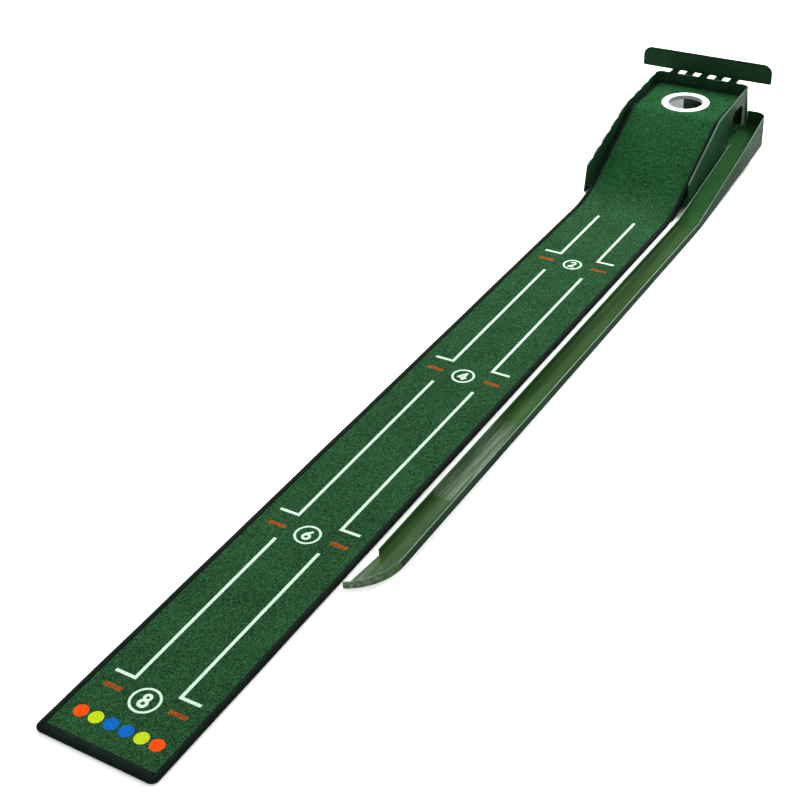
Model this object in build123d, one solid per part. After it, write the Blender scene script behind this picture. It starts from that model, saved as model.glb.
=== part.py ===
from build123d import *
import os
from math import atan2, cos, degrees, radians, sin, tan

# A practice putting mat: a bound strip of turf that runs up a moulded ramp to a cup, with a backstop
# behind the cup and a plastic track that brings the ball back to the player.
# Millimetres, +Z up, the floor at Z = 0, +Y from the player to the cup, the track on the +X side.
# Shapes are drawn with Y = 0 at the player's end and X = 0 on the mat's centreline. save() then moves
# them so that the origin is the middle of the whole object's base.

# Mat: three layers that follow one course along the floor, up the ramp and over its flat top.
MAT_HALF = 150.0
BACKING = 3.0
PILE = 5.0
MAT_THICK = BACKING + PILE
BINDING = 15.0
NEAR_BINDING = 24.0
BINDING_WRAP = 3.0
BINDING_RISE = 1.0
BINDING_LIFT = 0.3
MAT_CORNER = 17.0
MAT_REAR_CORNER = 6.0
MAT_END = 3058.0

# Course of the mat's underside: floor, slope and plateau, joined by two arcs.
RISE_START = 2500.0
RISE_END = 2832.0
PLATEAU = 173.0
FOOT_RADIUS = 340.0
CREST_RADIUS = 50.0
SLOPE = atan2(PLATEAU, RISE_END - RISE_START)
FOOT_TANGENT = FOOT_RADIUS * tan(SLOPE / 2)
CREST_TANGENT = CREST_RADIUS * tan(SLOPE / 2)

# The backing is one sheet, drawn as four spans that meet face to face. Each span is named after the
# part of the course it covers, and runs up to this place along Y.
BACKING_SPANS = {
    "floor": RISE_START - FOOT_TANGENT,
    "foot": RISE_START + FOOT_TANGENT * cos(SLOPE),
    "slope": RISE_END - CREST_TANGENT * cos(SLOPE),
    "top": MAT_END,
}

# Ramp shell: a rear wall and two side walls that lean out towards the floor. The left one is fluted,
# and the right one is set back round the outlet. SHELL_HALF is half the width at the rear's rim.
SHELL_HALF = 157.5
FLARE = 17.0
SHELL_FRONT = 2546.0
SHELL_REAR = 3070.0
WALL = 4.0
REAR_WALL = 6.0
SHELL_LIFT = 1.0
SHELL_CORNER = 20.0
FRONT_TOP = (2552.0, 92.0)
RIM_KINK = (2812.0, 193.0)
REAR_TOP = 211.5
RIM_CORNERS = [0, 14, 60, 0, 0]
RIM_BAND = 5.0
RIM_PROUD = 1.0
FLUTES = 9
FLUTE_WIDTH = 22.0
FLUTE_DEPTH = 2.4
FLUTE_FLOOR = 40.0
FLUTE_SKIN = 2.0
LEDGE = 11.0
LEDGE_THICK = 4.5
WIDE = 200.0
RECESS_X = 159.0
RECESS_Y = (2876.0, 3046.0)
RECESS_CORNER = 5.0

# Six rubber feet, each with a stem and a head through a small plate at the foot of the wall.
FOOT_X = 145.0
FOOT_Y = (2602.0, 2805.0, 3050.0)
FOOT_PLATE_HALF = 13.0
FOOT_PLATE_Z = (2.0, 5.0)
FOOT_PAD = 9.0
FOOT_STEM = 2.5
FOOT_HEAD = 4.0
FOOT_TOP = 7.0

# Outlet in the +X wall, where the ball leaves the ramp.
OUTLET_Y = (2930.0, 3014.0)
OUTLET_Z = (104.0, 170.0)
OUTLET_CORNER = 20.0

# Deck under the turf, and the hook tapes and screws on it.
FLOOR_GAP = 0.3
TAPE = 0.8
TAPE_X = (-105.0, 105.0)
TAPE_HALF = 15.0
TAPE_RUNS = ((2610.0, 2790.0), (3010.0, 3048.0))
DECK = 3.0
DECK_UNDER = -TAPE - DECK
DECK_HALF = 151.0
DECK_START = 2478.0
DECK_END = 3063.5
DECK_CORNER = 17.0
COURSE_FRONT = DECK_START - 80
RIB = 2.5
RIB_X = (-52.0, 52.0)
RIB_Y = (2650.0, 2745.0, 2838.0)
CROSS_RIB_HALF = 138.0
CROSS_RIB_LOW = 12.0
DECK_SCREW_X = (-147.0, 147.0)
DECK_SCREW_Y = (2630.0, 2775.0, 3046.0)
SCREW_RADIUS = 1.5
SCREW_HEAD = 3.0
SCREW_HEAD_DEPTH = 1.6
SCREW_LENGTH = 7.2
SCREW_FIT = 0.05

# Cup.
CUP_Y = 2924.0
RING_RADIUS = 75.0
RING_THICK = 2.6
CUP_RADIUS = 54.5
SPIGOT = 2.5
SPIGOT_DEPTH = 10.0
HOLE_RADIUS = CUP_RADIUS + SPIGOT + 0.4
LINER_WALL = 2.4
LINER_FROM = 117.0
LINER_TO = 375.0
CHUTE_RADIUS = 60.0
CHUTE_WALL = 2.5
CHUTE_FLOOR = 122.0
CHUTE_FALL = 0.1
CHUTE_END = 149.0
CHUTE_LOW = 60.0
CHANNEL_Y = (2931.0, 3009.0)
CHANNEL_REAR_X = 28.0
EAR_PLACES = ((-68.5, CUP_Y), (0.0, CUP_Y - 68.5), (100.0, 2929.0), (70.0, 3016.2))
EAR = 7.0
EAR_THICK = 3.0
BOSS = 4.5
BOSS_DROP = 8.0

CHUTE_SCREW_HEAD = 2.0

# Backstop: a plate behind the rear wall, carried by three tongues and two shoulders.
STOP_HALF = 219.0
STOP_BOTTOM = 212.0
STOP_TOP = 276.0
STOP_THICK = 4.0
STOP_GAP = 24.0
STOP_CORNER_TOP = 29.0
STOP_CORNER_BOTTOM = 7.0
TONGUE_X = (-100.0, 0.0, 100.0)
TONGUE_WIDTH = 27.0
TONGUE_THICK = 2.4
TONGUE_DROP = 46.0
SOCKET_DEPTH = 3.2
SHOULDER_X = (-50.0, 50.0)
SHOULDER_WIDTH = 26.0
SHOULDER_THICK = 3.0
SHOULDER_DROP = 18.0
STOP_SHELF = 2.2
CLEARANCE = 0.4

# Return track: an entry chute beside the ramp, three straight sections and a curved end.
TRACK_LEFT = 176.0
TRACK_RIGHT = 241.0
TRACK_WALL = 2.4
TRACK_HEIGHT = 24.0
TRACK_FLOOR = (2.4, 4.6)
TRACK_JOINT = 2460.0
SECTION = 490.0
SECTIONS = 3
SECTION_GAP = 0.5
TONGUE_REACH = 28.0
TONGUE_Z = (0.4, 2.0)
PLUG_HALF = 18.0
BEAD = 0.5
ENTRY_REAR = 3020.0
ENTRY_CORNER = 36.0
ENTRY_FLOOR = ((2460.0, 5.2), (2872.0, 88.0), (3020.0, 101.5))
ENTRY_SKIRT_RISE = 0.0986
ENTRY_FLOOR_THICK = 2.4
ENTRY_LEFT_END = 2872.0
APRON_FRONT = 2878.0
ENTRY_TOPS = ((2460.0, 25.0), (2815.0, 102.0), (2985.0, 148.0))
ENTRY_LEFT_TOPS = (25.0, 95.0)
HOOK_Y = (2950.0, 2990.0)
HOOK_THICK = 2.4
RISER_LOW = 94.0
HOOK_DROP = 12.0
HOOK_RUN = 3.6
ENTRY_SIDE_GAP = 0.7
END_STRAIGHT = 752.0
END_RADIUS = 137.0
END_TURN = 65.0
END_LEFT_STOP = 745.0
END_TIP_HEIGHT = 14.0
END_FLOOR_Y = 652.0

# The middle of the whole object's base.
MID_X = (TRACK_RIGHT - STOP_HALF) / 2
STOP_FRONT = SHELL_REAR + STOP_GAP
MID_Y = (STOP_FRONT + STOP_THICK) / 2

os.makedirs("parts", exist_ok=True)


def save(name, shape):
    """Writes one piece, moved so that the origin is the middle of the object's base."""
    moved = Pos(-MID_X, -MID_Y, 0) * shape
    moved.label = name
    export_step(moved, f"parts/{name}.step")


def outline(points, radii):
    """A closed face with one corner radius for each point."""
    return make_face(FilletPolyline(*points, radius=radii, close=True))


def from_side(points, radii, x0, x1):
    """A prism along X between x0 and x1, from an outline in (Y, Z)."""
    return Pos(x0, 0, 0) * extrude(Plane.YZ * outline(points, radii), amount=x1 - x0, dir=(1, 0, 0))


def from_front(points, radii, y0, y1):
    """A prism along Y between y0 and y1, from an outline in (X, Z)."""
    face = Plane(origin=(0, 0, 0), x_dir=(1, 0, 0), z_dir=(0, -1, 0)) * outline(points, radii)
    return Pos(0, y0, 0) * extrude(face, amount=y1 - y0, dir=(0, 1, 0))


def from_above(points, radii, z0, z1):
    """A prism along Z between z0 and z1, from an outline in (X, Y)."""
    return Pos(0, 0, z0) * extrude(outline(points, radii), amount=z1 - z0, dir=(0, 0, 1))


def block(x0, x1, y0, y1, z0, z1):
    """A plain box between two corners."""
    return Pos(x0, y0, z0) * Box(x1 - x0, y1 - y0, z1 - z0, align=Align.MIN)


def disc(x, y, z0, z1, radius):
    """An upright cylinder between two heights."""
    return Pos(x, y, (z0 + z1) / 2) * Cylinder(radius, z1 - z0)


def floor_corner(height):
    """Where the floor run meets the slope, at a height above the mat's underside."""
    return (RISE_START + height * (1 - 1 / cos(SLOPE)) / tan(SLOPE), height)


def crest_corner(height):
    """Where the slope meets the plateau, at a height above the mat's underside."""
    return (RISE_START + (PLATEAU + height - height / cos(SLOPE)) / tan(SLOPE), PLATEAU + height)


def layer(low, high, start, end, x0, x1):
    """A band that follows the mat's course between two heights above its underside."""
    points = [
        (start, low),
        floor_corner(low),
        crest_corner(low),
        (end, PLATEAU + low),
        (end, PLATEAU + high),
        crest_corner(high),
        floor_corner(high),
        (start, high),
    ]
    radii = [0, FOOT_RADIUS - low, CREST_RADIUS + low, 0, 0, CREST_RADIUS + high, FOOT_RADIUS - high, 0]
    return from_side(points, radii, x0, x1)


def under_course(height, end, x0, x1):
    """Everything under the mat's course, at a height above its underside."""
    points = [
        (COURSE_FRONT, -30),
        (end, -30),
        (end, PLATEAU + height),
        crest_corner(height),
        floor_corner(height),
        (COURSE_FRONT, height),
    ]
    return from_side(points, [0, 0, 0, CREST_RADIUS + height, FOOT_RADIUS - height, 0], x0, x1)


def on_slope(x, y, height):
    """A location on the slope, with its Z axis square to the mat."""
    z = (y - RISE_START) * tan(SLOPE)
    return Pos(x, y, z) * Rot(degrees(SLOPE), 0, 0) * Pos(0, 0, height)


def mat_plan(half, start, end, near_corner, rear_corner, z1):
    """An upright prism with the mat's plan, for trimming its layers."""
    points = [(-half, start), (half, start), (half, end), (-half, end)]
    return from_above(points, [near_corner, near_corner, rear_corner, rear_corner], -1, z1)


def make_mat():
    """Backing, pile and edge binding, each with the cup's hole where it reaches that far."""
    clear = PLATEAU + 40
    hole = disc(0, CUP_Y, PLATEAU - 10, clear, HOLE_RADIUS)
    inset = MAT_HALF - BINDING_WRAP
    inner = MAT_HALF - BINDING
    rear = MAT_END - BINDING
    outer_plan = mat_plan(MAT_HALF, 0, MAT_END, MAT_CORNER, MAT_REAR_CORNER, clear)
    inset_corners = (MAT_CORNER - BINDING_WRAP, MAT_REAR_CORNER - BINDING_WRAP)
    backing_plan = mat_plan(inset, BINDING_WRAP, MAT_END - BINDING_WRAP, *inset_corners, clear)
    pile_plan = mat_plan(inner, NEAR_BINDING, rear, 5, 3, clear)
    backing = layer(0, BACKING, 0, MAT_END, -MAT_HALF, MAT_HALF) & backing_plan
    pile = (layer(BACKING, MAT_THICK, 0, MAT_END, -MAT_HALF, MAT_HALF) & pile_plan) - hole
    wrap = layer(BINDING_LIFT, MAT_THICK + BINDING_RISE, 0, MAT_END, -MAT_HALF, MAT_HALF)
    under = layer(-1, BACKING, -1, MAT_END + 1, -MAT_HALF, MAT_HALF) & backing_plan
    binding = (wrap & outer_plan) - pile_plan - under
    return backing - hole, pile, binding


def make_tapes():
    """Four strips of hook tape that hold the backing to the deck."""
    tapes = []
    for x in TAPE_X:
        low, high = x - TAPE_HALF, x + TAPE_HALF
        for start, end in TAPE_RUNS:
            strip = layer(-TAPE, 0, COURSE_FRONT, MAT_END, low, high)
            tapes.append(strip & block(low, high, start, end, -1, PLATEAU + 1))
    return Compound(children=tapes)


def slope_screw_places():
    """Where the deck's countersunk screws go: four on the slope and two on the plateau."""
    low, high, rear = DECK_SCREW_Y
    places = []
    for x in DECK_SCREW_X:
        places += [on_slope(x, low, -TAPE), on_slope(x, high, -TAPE), Pos(x, rear, PLATEAU - TAPE)]
    return places


def cross_recess():
    """A cross-shaped driver recess, centred on the head's face."""
    return Box(3.4, 0.7, 1.6) + Box(0.7, 3.4, 1.6)


def screw_body(grow):
    """A countersunk screw without its recess, with its head's face at Z = 0, pointing down."""
    head = Cone(SCREW_RADIUS + grow, SCREW_HEAD + grow, SCREW_HEAD_DEPTH)
    shank = Cylinder(SCREW_RADIUS + grow, SCREW_LENGTH)
    return Pos(0, 0, -SCREW_HEAD_DEPTH / 2) * head + Pos(0, 0, -SCREW_LENGTH / 2) * shank


def make_deck_screws():
    """Six countersunk screws, through the deck into the shell's ledges."""
    screw = screw_body(0) - cross_recess()
    return Compound(children=[place * screw for place in slope_screw_places()])


def rim_points(drop):
    """The side wall's outline in (Y, Z), with its rim lowered by drop."""
    return [
        (SHELL_FRONT, SHELL_LIFT),
        (FRONT_TOP[0], FRONT_TOP[1] - drop),
        (RIM_KINK[0], RIM_KINK[1] - drop),
        (SHELL_REAR + 5, REAR_TOP - drop),
        (SHELL_REAR + 5, SHELL_LIFT),
    ]


def flare(z):
    """How far the side walls stand out at a height, past where they are at the rear's rim."""
    return FLARE * (1 - z / REAR_TOP)


def shell_body(half, rear, corner, z0, z1):
    """A solid body with leaning sides and round rear corners; half is its width at the rear's rim."""
    low, high = half + flare(z0), half + flare(z1)
    sides = [(-low, z0), (low, z0), (high, z1), (-high, z1)]
    body = from_front(sides, [0, 0, 0, 0], SHELL_FRONT - 20, rear)
    across = body.edges().group_by(Axis.Y)[-1].sort_by(Axis.X)
    return fillet([across[0], across[-1]], corner)


def flute_tool(y, skin):
    """A rod that leans with the left wall, whose surface, grown by skin, makes one flute."""
    groove_radius = (FLUTE_WIDTH**2 / 4 + FLUTE_DEPTH**2) / (2 * FLUTE_DEPTH)
    x = -(SHELL_HALF + groove_radius - FLUTE_DEPTH)
    low = FLUTE_FLOOR + FLUTE_WIDTH / 2 - REAR_TOP
    rod = disc(0, 0, low, 10, groove_radius + skin) + Pos(0, 0, low) * Sphere(groove_radius + skin)
    return Pos(x, y, REAR_TOP) * Rot(0, degrees(atan2(FLARE, REAR_TOP)), 0) * rod


def recess(skin):
    """The space round the outlet that the right wall is set back from, grown by skin."""
    y0, y1 = RECESS_Y
    corners = [
        (RECESS_X - skin, y0 - skin),
        (WIDE, y0 - skin),
        (WIDE, y1 + skin),
        (RECESS_X - skin, y1 + skin),
    ]
    return from_above(corners, [RECESS_CORNER, 0, 0, RECESS_CORNER], -5, REAR_TOP + 20)


def socket_tool(x):
    """A round-ended groove in the rear wall's inner face for one tongue."""
    half = TONGUE_WIDTH / 2 + CLEARANCE
    low = REAR_TOP - TONGUE_DROP
    inner_face = SHELL_REAR - REAR_WALL
    points = [(x - half, low), (x + half, low), (x + half, REAR_TOP + 5), (x - half, REAR_TOP + 5)]
    return from_front(points, [6, 6, 0, 0], inner_face - 1, inner_face + SOCKET_DEPTH)


def foot_places():
    """Where the six rubber feet stand."""
    return [(x, y) for x in (-FOOT_X, FOOT_X) for y in FOOT_Y]


def make_shell():
    """Side and rear walls with flutes, rim, ledges, foot plates, sockets and outlet."""
    top = REAR_TOP + 10
    body = shell_body(SHELL_HALF, SHELL_REAR, SHELL_CORNER, 0, top)
    profile = from_side(rim_points(0), RIM_CORNERS, -WIDE, WIDE)
    band = shell_body(SHELL_HALF + RIM_PROUD, SHELL_REAR + RIM_PROUD, SHELL_CORNER + RIM_PROUD, 0, top)
    band -= from_side(rim_points(RIM_BAND), RIM_CORNERS, -WIDE, WIDE)
    solid = (body & profile) + (band & profile) - recess(0)
    rear_inner = SHELL_REAR - REAR_WALL
    inner = SHELL_HALF - WALL
    room = shell_body(inner, rear_inner, SHELL_CORNER - WALL, -1, top) - recess(WALL)
    shell = solid - room
    for side in (-1, 1):
        low, high = sorted((side * (inner - LEDGE), side * WIDE))
        ledge = layer(DECK_UNDER - LEDGE_THICK, DECK_UNDER, COURSE_FRONT, rear_inner + 1, low, high)
        shell += ledge & solid & block(low, high, SHELL_FRONT + 6, rear_inner + 1, SHELL_LIFT, top)
    for x, y in foot_places():
        side = 1 if x > 0 else -1
        near, far = sorted((x - side * FOOT_PLATE_HALF, side * WIDE))
        plate = block(near, far, y - FOOT_PLATE_HALF, y + FOOT_PLATE_HALF, *FOOT_PLATE_Z)
        shell += plate & solid
        shell -= disc(x, y, 0, FOOT_TOP, FOOT_STEM + SCREW_FIT)
    pitch = (SHELL_REAR - SHELL_FRONT) / (FLUTES + 0.2)
    flute_places = [SHELL_REAR - pitch * (count + 0.55) for count in range(FLUTES)]
    for y in flute_places:
        shell += flute_tool(y, FLUTE_SKIN) & solid
    for y in flute_places:
        shell -= flute_tool(y, 0)
    for x in TONGUE_X:
        shell -= socket_tool(x)
    y0, y1 = OUTLET_Y
    z0, z1 = OUTLET_Z
    corners = [(y0, z0), (y1, z0), (y1, z1), (y0, z1)]
    radii = [6, 6, OUTLET_CORNER, OUTLET_CORNER]
    shell -= from_side(corners, radii, RECESS_X - WALL - 0.5, RECESS_X + 5)
    for place in slope_screw_places():
        shell -= place * screw_body(SCREW_FIT)
    return shell


def make_feet():
    """Six rubber pads with a stem through the foot plates."""
    plate_low, plate_high = FOOT_PLATE_Z
    feet = []
    for x, y in foot_places():
        pad = disc(x, y, 0, plate_low, FOOT_PAD)
        stem = disc(x, y, plate_low, FOOT_TOP, FOOT_STEM)
        feet.append(pad + stem + disc(x, y, plate_high, FOOT_TOP, FOOT_HEAD))
    return Compound(children=feet)


def make_deck():
    """The plate under the turf, with bosses for the chute's screws."""
    top = PLATEAU + 5
    half = DECK_HALF
    deck = layer(DECK_UNDER, -TAPE, COURSE_FRONT, DECK_END, -half, half)
    corners = [(-half, DECK_START), (half, DECK_START), (half, DECK_END), (-half, DECK_END)]
    deck &= from_above(corners, [0, 0, DECK_CORNER, DECK_CORNER], FLOOR_GAP, top)
    deck -= disc(0, CUP_Y, 100, top, HOLE_RADIUS)
    ceiling = PLATEAU + DECK_UNDER
    for x, y in EAR_PLACES:
        deck += disc(x, y, ceiling - BOSS_DROP, ceiling + 0.2, BOSS)
        deck -= disc(x, y, ceiling - BOSS_DROP - 1, ceiling - 1, SCREW_RADIUS)
    for place in slope_screw_places():
        deck -= place * screw_body(SCREW_FIT)
    return deck


def make_ribs():
    """The frame under the deck: two long webs that stand on the floor and three that cross them."""
    top = PLATEAU + 5
    room = under_course(DECK_UNDER, DECK_END, -DECK_HALF, DECK_HALF)
    webs = [
        block(x - RIB / 2, x + RIB / 2, SHELL_FRONT, RIB_Y[-1] + RIB / 2, FLOOR_GAP, top) for x in RIB_X
    ]
    for y in RIB_Y:
        webs.append(block(-CROSS_RIB_HALF, CROSS_RIB_HALF, y - RIB / 2, y + RIB / 2, CROSS_RIB_LOW, top))
    frame = webs[0]
    for web in webs[1:]:
        frame += web
    return frame & room


def make_ring():
    """The white cup ring: a flat flange on the turf and a spigot through it."""
    base = PLATEAU + MAT_THICK
    flange = disc(0, CUP_Y, base, base + RING_THICK, RING_RADIUS)
    flange = fillet(flange.edges().group_by(Axis.Z)[-1], 1.2)
    spigot = disc(0, CUP_Y, base - SPIGOT_DEPTH, base + 0.5, CUP_RADIUS + SPIGOT)
    ring = flange + spigot - disc(0, CUP_Y, base - 50, base + 50, CUP_RADIUS)
    mouth = ring.edges().filter_by(GeomType.CIRCLE).group_by(Axis.Z)[-1]
    return fillet(mouth.sort_by(SortBy.RADIUS)[0], 0.9)


def on_cup(radius, angle):
    """A point at a radius and angle from the cup's centre, in plan."""
    return (radius * cos(radians(angle)), CUP_Y + radius * sin(radians(angle)))


def chute_plan():
    """The chute's inside in plan: the cup's circle and a channel to the outlet."""
    front, rear = CHANNEL_Y
    channel = Polyline(
        (0, CUP_Y),
        on_cup(CHUTE_RADIUS, LINER_TO),
        (CHUTE_END + 20, front),
        (CHUTE_END + 20, rear),
        (CHANNEL_REAR_X, rear),
        on_cup(CHUTE_RADIUS, LINER_FROM),
        close=True,
    )
    return Pos(0, CUP_Y) * Circle(CHUTE_RADIUS) + make_face(channel)


def below_floor(drop):
    """Everything under the chute's sloping floor, lowered by drop."""
    points = [
        (-WIDE, 0),
        (WIDE, 0),
        (WIDE, CHUTE_FLOOR - drop - CHUTE_FALL * WIDE),
        (-WIDE, CHUTE_FLOOR - drop + CHUTE_FALL * WIDE),
    ]
    return from_front(points, [0, 0, 0, 0], CUP_Y - WIDE, CUP_Y + WIDE)


def make_chute():
    """The tray under the cup, open towards the outlet, with four screw ears."""
    ceiling = PLATEAU + DECK_UNDER
    plan = chute_plan()
    height = ceiling - CHUTE_LOW
    outer = Pos(0, 0, CHUTE_LOW) * extrude(offset(plan, CHUTE_WALL), amount=height, dir=(0, 0, 1))
    inner = Pos(0, 0, CHUTE_LOW) * extrude(plan, amount=height + 1, dir=(0, 0, 1))
    ear_top = ceiling - BOSS_DROP
    for x, y in EAR_PLACES:
        outer += disc(x, y, ear_top - EAR_THICK, ear_top, EAR)
    chute = outer - below_floor(CHUTE_WALL)
    chute -= inner - below_floor(0)
    y0, y1 = CUP_Y - WIDE, CUP_Y + WIDE
    ledge_edge = SHELL_HALF - WALL - LEDGE - 1
    chute -= block(CHUTE_END, WIDE, y0, y1, 0, ceiling + 1)
    chute -= block(ledge_edge, WIDE, y0, y1, ceiling - LEDGE_THICK - 1, ceiling + 1)
    for x, y in EAR_PLACES:
        chute -= disc(x, y, ear_top - EAR_THICK - 1, ceiling, SCREW_RADIUS + 0.1)
        chute -= disc(x, y, ear_top, ceiling + 1, BOSS + 0.2)
    return chute


def make_chute_screws():
    """Four pan-head screws, from below through the ears into the deck's bosses."""
    ear_under = PLATEAU + DECK_UNDER - BOSS_DROP - EAR_THICK
    head_face = ear_under - CHUTE_SCREW_HEAD
    screws = []
    for x, y in EAR_PLACES:
        head = disc(x, y, head_face, ear_under, SCREW_HEAD)
        shank = disc(x, y, ear_under, ear_under + SCREW_LENGTH + 1, SCREW_RADIUS - SCREW_FIT)
        screws.append(head + shank - Pos(x, y, head_face) * cross_recess())
    return Compound(children=screws)


def make_liner():
    """The grey wall round the cup, open towards the outlet."""
    top = PLATEAU + DECK_UNDER - CLEARANCE
    tube = disc(0, CUP_Y, CHUTE_LOW, top, HOLE_RADIUS + LINER_WALL - 0.1)
    tube -= disc(0, CUP_Y, CHUTE_LOW - 1, top + 1, HOLE_RADIUS)
    gap = Polyline((0, CUP_Y), on_cup(WIDE, LINER_TO), on_cup(WIDE, LINER_FROM), close=True)
    tube -= Pos(0, 0, CHUTE_LOW - 1) * extrude(make_face(gap), amount=top, dir=(0, 0, 1))
    return tube - below_floor(0)


def make_backstop():
    """The plate with three tongues inside the rear wall and two shoulders outside it."""
    plate = from_front(
        [
            (-STOP_HALF, STOP_BOTTOM),
            (STOP_HALF, STOP_BOTTOM),
            (STOP_HALF, STOP_TOP),
            (-STOP_HALF, STOP_TOP),
        ],
        [STOP_CORNER_BOTTOM, STOP_CORNER_BOTTOM, STOP_CORNER_TOP, STOP_CORNER_TOP],
        STOP_FRONT,
        STOP_FRONT + STOP_THICK,
    )
    plate = fillet(plate.faces().filter_by(Axis.Y).edges(), 1.2)
    shelf_low = REAR_TOP + CLEARANCE
    shelf_high = STOP_BOTTOM + STOP_SHELF
    tongue_front = SHELL_REAR - REAR_WALL + CLEARANCE
    for x in TONGUE_X:
        half = TONGUE_WIDTH / 2
        tongue = block(x - half, x + half, tongue_front, STOP_FRONT + 1, shelf_low, shelf_high)
        low = REAR_TOP - TONGUE_DROP + 1
        points = [(x - half, low), (x + half, low), (x + half, shelf_high), (x - half, shelf_high)]
        tongue += from_front(points, [5.5, 5.5, 0, 0], tongue_front, tongue_front + TONGUE_THICK)
        plate += tongue
    for x in SHOULDER_X:
        half = SHOULDER_WIDTH / 2
        rear_face = SHELL_REAR + RIM_PROUD + CLEARANCE
        shelf = block(x - half, x + half, rear_face, STOP_FRONT + 1, shelf_low, shelf_high)
        points = [
            (x - half, REAR_TOP - SHOULDER_DROP),
            (x + half, REAR_TOP - SHOULDER_DROP),
            (x + half, shelf_high),
            (x - half, shelf_high),
        ]
        shelf += from_front(points, [5, 5, 0, 0], rear_face, rear_face + SHOULDER_THICK)
        plate += shelf
    return plate


def channel_section(left, right, height):
    """The straight track's cross-section in (X, Z): two walls, a floor and two shallow beads."""
    low, high = TRACK_FLOOR
    points = [
        (left, 0),
        (left + TRACK_WALL, 0),
        (left + TRACK_WALL, low),
        (right - TRACK_WALL, low),
        (right - TRACK_WALL, 0),
        (right, 0),
        (right, height),
        (right - TRACK_WALL, height),
        (right - TRACK_WALL, high),
        (left + TRACK_WALL, high),
        (left + TRACK_WALL, height),
        (left, height),
    ]
    radii = [0, 0, 0, 0, 0, 0, 1.0, 1.0, 2.5, 2.5, 1.0, 1.0]
    return points, radii


def plug(y):
    """The flat tongue under a section's upstream end, at y, that slides under its neighbour's floor."""
    middle = (TRACK_LEFT + TRACK_RIGHT) / 2
    low, high = TONGUE_Z
    points = [
        (middle - PLUG_HALF, y - 40),
        (middle + PLUG_HALF, y - 40),
        (middle + PLUG_HALF, y + TONGUE_REACH),
        (middle - PLUG_HALF, y + TONGUE_REACH),
    ]
    tongue = from_above(points, [0, 0, 6, 6], low, high)
    root = block(middle - PLUG_HALF, middle + PLUG_HALF, y - 40, y - 1, high - 0.2, TRACK_FLOOR[0] + 0.2)
    return tongue + root


def floor_beads(y0, y1):
    """Two shallow moulded lines along the floor, which keep the ball off the walls."""
    middle = (TRACK_LEFT + TRACK_RIGHT) / 2
    high = TRACK_FLOOR[1]
    beads = block(middle - 13, middle - 11, y0, y1, high - 0.2, high + BEAD)
    return beads + block(middle + 11, middle + 13, y0, y1, high - 0.2, high + BEAD)


def make_section(rear):
    """One straight section, from its rear joint towards the player."""
    points, radii = channel_section(TRACK_LEFT, TRACK_RIGHT, TRACK_HEIGHT)
    front = rear - SECTION + SECTION_GAP
    section = from_front(points, radii, front, rear)
    section += floor_beads(front + 6, rear - 6)
    return section + plug(rear)


def make_end(rear):
    """The last section: a straight channel whose right wall curves in to turn the ball onto the mat."""
    low, high = TRACK_FLOOR
    points, radii = channel_section(TRACK_LEFT, TRACK_RIGHT, TRACK_HEIGHT)
    straight = from_front(points, radii, END_STRAIGHT, rear)
    straight -= block(TRACK_LEFT - 1, TRACK_LEFT + TRACK_WALL, 0, END_LEFT_STOP, high, 100)
    centre_x = TRACK_RIGHT - END_RADIUS
    turn = radians(END_TURN)
    tip = (centre_x + END_RADIUS * cos(turn), END_STRAIGHT - END_RADIUS * sin(turn))
    half_turn = turn / 2
    arc_middle = (centre_x + END_RADIUS * cos(half_turn), END_STRAIGHT - END_RADIUS * sin(half_turn))
    rim = ThreePointArc((TRACK_RIGHT, END_STRAIGHT), arc_middle, tip)
    edge = Polyline(
        tip, (TRACK_LEFT - 10, END_FLOOR_Y), (TRACK_LEFT, END_STRAIGHT), (TRACK_RIGHT, END_STRAIGHT)
    )
    floor = Pos(0, 0, low) * extrude(make_face(rim + edge), amount=high - low, dir=(0, 0, 1))
    sweep_face = Pos(centre_x, END_STRAIGHT) * (
        Circle(END_RADIUS) - Circle(END_RADIUS - TRACK_WALL)
    )
    wall = extrude(sweep_face, amount=TRACK_HEIGHT, dir=(0, 0, 1))
    sector = Polyline(
        (centre_x, END_STRAIGHT + 0.01),
        (centre_x + 400, END_STRAIGHT + 0.01),
        (centre_x + 400, END_STRAIGHT - 400 * tan(turn) - 50),
        (centre_x + 400 * cos(turn), END_STRAIGHT - 400 * sin(turn)),
        close=True,
    )
    wall &= extrude(make_face(sector), amount=TRACK_HEIGHT, dir=(0, 0, 1))
    taper = from_front(
        [(100, END_TIP_HEIGHT - 4), (TRACK_RIGHT + 20, TRACK_HEIGHT + 4.5), (100, 60)],
        [0, 0, 0],
        500,
        END_STRAIGHT - 1,
    )
    wall -= taper
    end = straight + floor + wall
    end += floor_beads(END_LEFT_STOP + 12, rear - 6)
    return end + plug(rear)


def entry_floor_line(drop):
    """The entry chute's floor in (Y, Z), lowered by drop, from its front to its rear."""
    return [(y, z - drop) for y, z in ENTRY_FLOOR]


def entry_skirt(y):
    """Height of the entry chute's lower edge."""
    return ENTRY_SKIRT_RISE * (y - TRACK_JOINT)


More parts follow.
